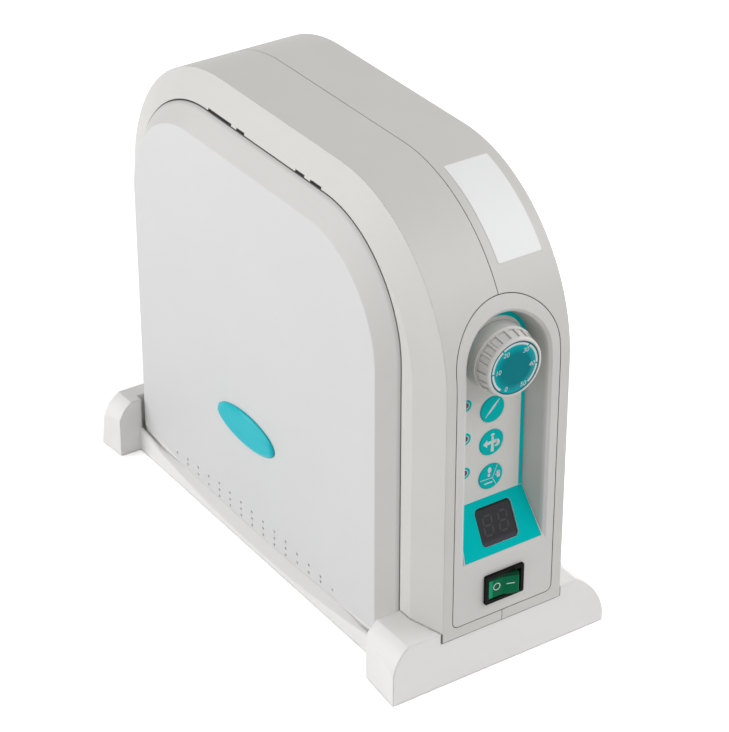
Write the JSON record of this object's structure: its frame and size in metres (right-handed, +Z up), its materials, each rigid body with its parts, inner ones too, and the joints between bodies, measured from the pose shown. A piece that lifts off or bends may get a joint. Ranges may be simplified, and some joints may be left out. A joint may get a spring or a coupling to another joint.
{
  "type": "dental lab micromotor control box",
  "caption": "Upright slab control box for a dental lab micromotor, with a sunken front control field, speed dial, keys, display, mains rocker and rear sockets on a wide foot stand.",
  "frame": {"origin": "middle of the footprint, on the surface that the rubber pads stand on", "axes": "+X to the right as seen from the front, -Y towards the user, +Z up"},
  "size_m": [0.117, 0.2706, 0.2295],
  "materials": {
    "crown_plastic": "fine satin",
    "cover_plastic": "satin",
    "base_plastic": "satin",
    "rubber": "matt",
    "badge": "glossy",
    "film": "satin",
    "window": "tinted",
    "dial_plastic": "satin",
    "dial_cap": "satin",
    "key": "satin",
    "lamp": "glossy",
    "black_plastic": "satin",
    "rocker": "glossy",
    "circuit_board": "satin",
    "header_plastic": "satin",
    "steel": "plain",
    "brass": "bright",
    "socket_metal": "satin",
    "rear_panel": "satin",
    "aluminium": "plain"
  },
  "bodies": {
    "control_box": {"left_housing": "crown_plastic", "right_housing": "crown_plastic", "front_panel": "crown_plastic", "left_side_cover": "cover_plastic", "right_side_cover": "cover_plastic", "base_stand": "base_plastic", "rubber_pads": "rubber", "side_badge": "badge", "control_film": "film", "display_window": "window", "status_lamps": "lamp", "rocker_frame": "black_plastic", "display_module": "black_plastic", "tact_switches": "black_plastic", "mains_inlet": "black_plastic", "fuse_holder": "black_plastic", "power_transistors": "black_plastic", "relay": "black_plastic", "transformer_coil": "black_plastic", "smoothing_capacitors": "black_plastic", "display_board": "circuit_board", "key_board": "circuit_board", "power_board": "circuit_board", "board_header": "header_plastic", "potentiometer": "steel", "chassis_plate": "steel", "transformer_core": "steel", "transformer_strap": "steel", "base_screws": "steel", "case_screws": "steel", "rear_panel_screws": "steel", "potentiometer_nut": "brass", "rocker_terminals": "brass", "inlet_pins": "brass", "board_standoffs": "brass", "motor_socket_a": "socket_metal", "motor_socket_b": "socket_metal", "pedal_socket": "socket_metal", "rear_panel": "rear_panel", "heat_sink": "aluminium"},
    "speed_dial_body": {"speed_dial": "dial_plastic", "dial_cap": "dial_cap", "dial_shaft": "steel"},
    "rocker_body": {"rocker_paddle": "rocker"},
    "handpiece_key": {"handpiece_button": "key"},
    "direction_key": {"direction_button": "key"},
    "mode_key": {"mode_button": "key"},
    "fuse_cap_body": {"fuse_cap": "black_plastic"}
  },
  "joints": [
    {"name": "speed_dial_turn", "type": "hinge", "parent": "control_box", "child": "speed_dial_body", "pos_m": [0, -0.128, 0.158], "axis": [0, 1, 0], "range_deg": [-150, 150]},
    {"name": "mains_rocker_tip", "type": "hinge", "parent": "control_box", "child": "rocker_body", "pos_m": [0, -0.1275, 0.0447], "axis": [0, 0, 1], "range_deg": [0, 20]},
    {"name": "handpiece_press", "type": "slide", "parent": "control_box", "child": "handpiece_key", "axis": [0, 1, 0], "range_m": [0, 0.0004], "stiffness_N_per_m": 2000},
    {"name": "direction_press", "type": "slide", "parent": "control_box", "child": "direction_key", "axis": [0, 1, 0], "range_m": [0, 0.0004], "stiffness_N_per_m": 2000},
    {"name": "mode_press", "type": "slide", "parent": "control_box", "child": "mode_key", "axis": [0, 1, 0], "range_m": [0, 0.0004], "stiffness_N_per_m": 2000},
    {"name": "fuse_cap_turn", "type": "hinge", "parent": "control_box", "child": "fuse_cap_body", "pos_m": [0.017, 0.134, 0.054], "axis": [0, 1, 0], "range_deg": [0, 75]}
  ]
}
